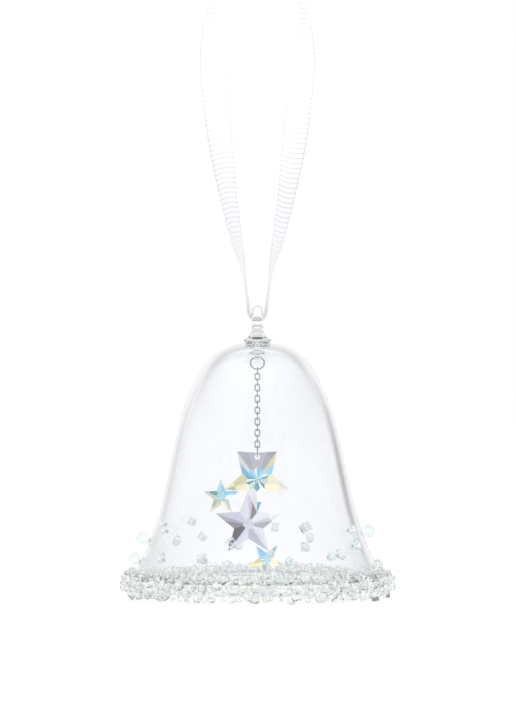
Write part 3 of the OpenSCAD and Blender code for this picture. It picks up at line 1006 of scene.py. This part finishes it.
def pierced(mesh, centre, radius, half_length):
    """The mesh with a round hole along Y."""
    sides = 32
    verts = [
        centre + Vector((radius * math.cos(a), y, radius * math.sin(a)))
        for y in (-half_length, half_length)
        for a in (2 * math.pi * j / sides for j in range(sides))
    ]
    faces = ring_faces(2, sides) + [tuple(range(sides)), tuple(range(sides, 2 * sides))]
    drill = bpy.data.objects.new("drill", outward(as_mesh("drill", verts, faces)))
    holder = bpy.data.objects.new("holder", mesh)
    for one in (drill, holder):
        bpy.context.collection.objects.link(one)
    cut = holder.modifiers.new("cut", "BOOLEAN")
    cut.object = drill
    cut.solver = "EXACT"
    ready = holder.evaluated_get(bpy.context.evaluated_depsgraph_get())
    result = bpy.data.meshes.new_from_object(ready)
    for one in (drill, holder):
        bpy.data.objects.remove(one)
    return result


def star_finish(name, haze):
    """Cut crystal that shows each facet's painted colour: the coating's hue with painted reflection
    and painted shade, and a painted glow in the same colour.
    """
    finish = Finish(name, Roughness=0.06, IOR=1.6, Transmission_Weight=0.12, Coat_Weight=0.6,
                    Coat_Roughness=0.02, Emission_Strength=STAR_GLOW)
    shade = finish.attribute("facet", out=0)
    finish.put(finish.surface["Base Color"], shade)
    finish.put(finish.surface["Emission Color"], shade)
    cloud = finish.node("ShaderNodeTexNoise", None, {"Vector": finish.place(350), "Scale": 1.0})
    finish.put(finish.surface["Normal"], finish.bumps(cloud, haze, 0.0002))
    return finish


def star_place(node, front, tip_up):
    """A CAD star's centre above the rim's level and its tip radius, from its box."""
    low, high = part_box(node)
    tip = (high[0] - low[0]) / MM / 2 / math.cos(math.radians(18))
    height = high[2] / MM - tip if tip_up else low[2] / MM + tip
    return ((low[0] + high[0]) / 2 / MM, low[1] / MM + front, height + HANG), tip


def make_star(name, node, finish, slot, tip_up, notch, front, back, edge, hole=None, **looks):
    centre, tip = star_place(node, front, tip_up)
    mesh = star_mesh(name, centre, tip, notch, front, back, edge, 90 if tip_up else -90, **looks)
    if hole:
        mesh = pierced(mesh, hole, STAR_HOLE_R * MM, 4 * MM)
    show(name, mesh, finish, "star_cluster", slot, node)


def make_stars():
    aurora, clear = star_finish("aurora_crystal", 0.12), star_finish("clear_crystal", 0.05)
    ring_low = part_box("star_ring")[0][2]
    hole = Vector((0, 0, ring_low + HOLE_RISE * MM))
    make_star("large_aurora_star", "star_aurora_large", aurora, "aurora_crystal", False,
              4.05, 2.1, 1.7, 1, hole, rosette=2.2, arms=AURORA_LARGE, burst=AURORA_BURST,
              top_r=6.8, top_burst=AURORA_TOP_BURST)
    make_star("large_clear_star", "star_clear_large", clear, "clear_crystal", True,
              3.95, 2, 1.4, 1, rosette=1.1, arms=CLEAR_LARGE, burst=CLEAR_BURST)
    small = dict(notch=2, front=1.1, back=0.8, edge=0.6, rosette=1, burst=SMALL_BURST)
    make_star("small_aurora_star_left", "star_aurora_left", aurora, "aurora_crystal", True,
              arms=AURORA_LEFT, **small)
    make_star("small_aurora_star_low", "star_aurora_low", aurora, "aurora_crystal", False,
              arms=AURORA_LOW, **small)


def make_finishes_on_cad():
    chrome = Finish("rhodium_plate", Metallic=1.0, Roughness=0.12)
    chrome.put(chrome.surface["Base Color"], (0.42, 0.42, 0.44))
    scratches = chrome.node("ShaderNodeTexNoise", None,
                            {"Vector": chrome.place(900), "Scale": 1.0, "Detail": 3.0})
    chrome.put(chrome.surface["Roughness"], scratches * 0.12 + 0.06)
    thread = Finish("thread", Roughness=0.7)
    thread.put(thread.surface["Base Color"], paint(244, 244, 246))
    cement = Finish("clear_adhesive", Roughness=0.2, IOR=1.3, Transmission_Weight=1.0,
                    Emission_Color=(1.0, 1.0, 1.0), Emission_Strength=BED_GLOW)
    milk = cement.node("ShaderNodeTexNoise", None, {"Vector": cement.place(700), "Scale": 1.0})
    cement.put(
        cement.surface["Base Color"], cement.blend(milk, paint(254, 255, 255), paint(248, 251, 250))
    )
    by_slot = {"chain_metal": chrome, "thread": thread, "ribbon": thread, "clear_cement": cement}
    slots = {part["node"]: part["material_slot"] for part in frame["record"]["subparts"]}
    for name, node in frame["nodes"].items():
        finish = by_slot.get(slots[name])
        if finish:
            for place in node.material_slots:
                place.material = finish.material
            if not node.material_slots:
                node.data.materials.append(finish.material)


make_camera()
make_ribbon()
make_floor()
make_studio()
make_dome()
make_stem()
crystal = crystal_finish("rim_crystal", 1.38, RIM_GLOW, 0.0, (255, 255, 255))
shapes = crystal_shapes()
make_rim(shapes, crystal)
make_wall_crystals(shapes)
make_stars()
for shape in shapes.values():
    bpy.data.objects.remove(shape)
make_finishes_on_cad()
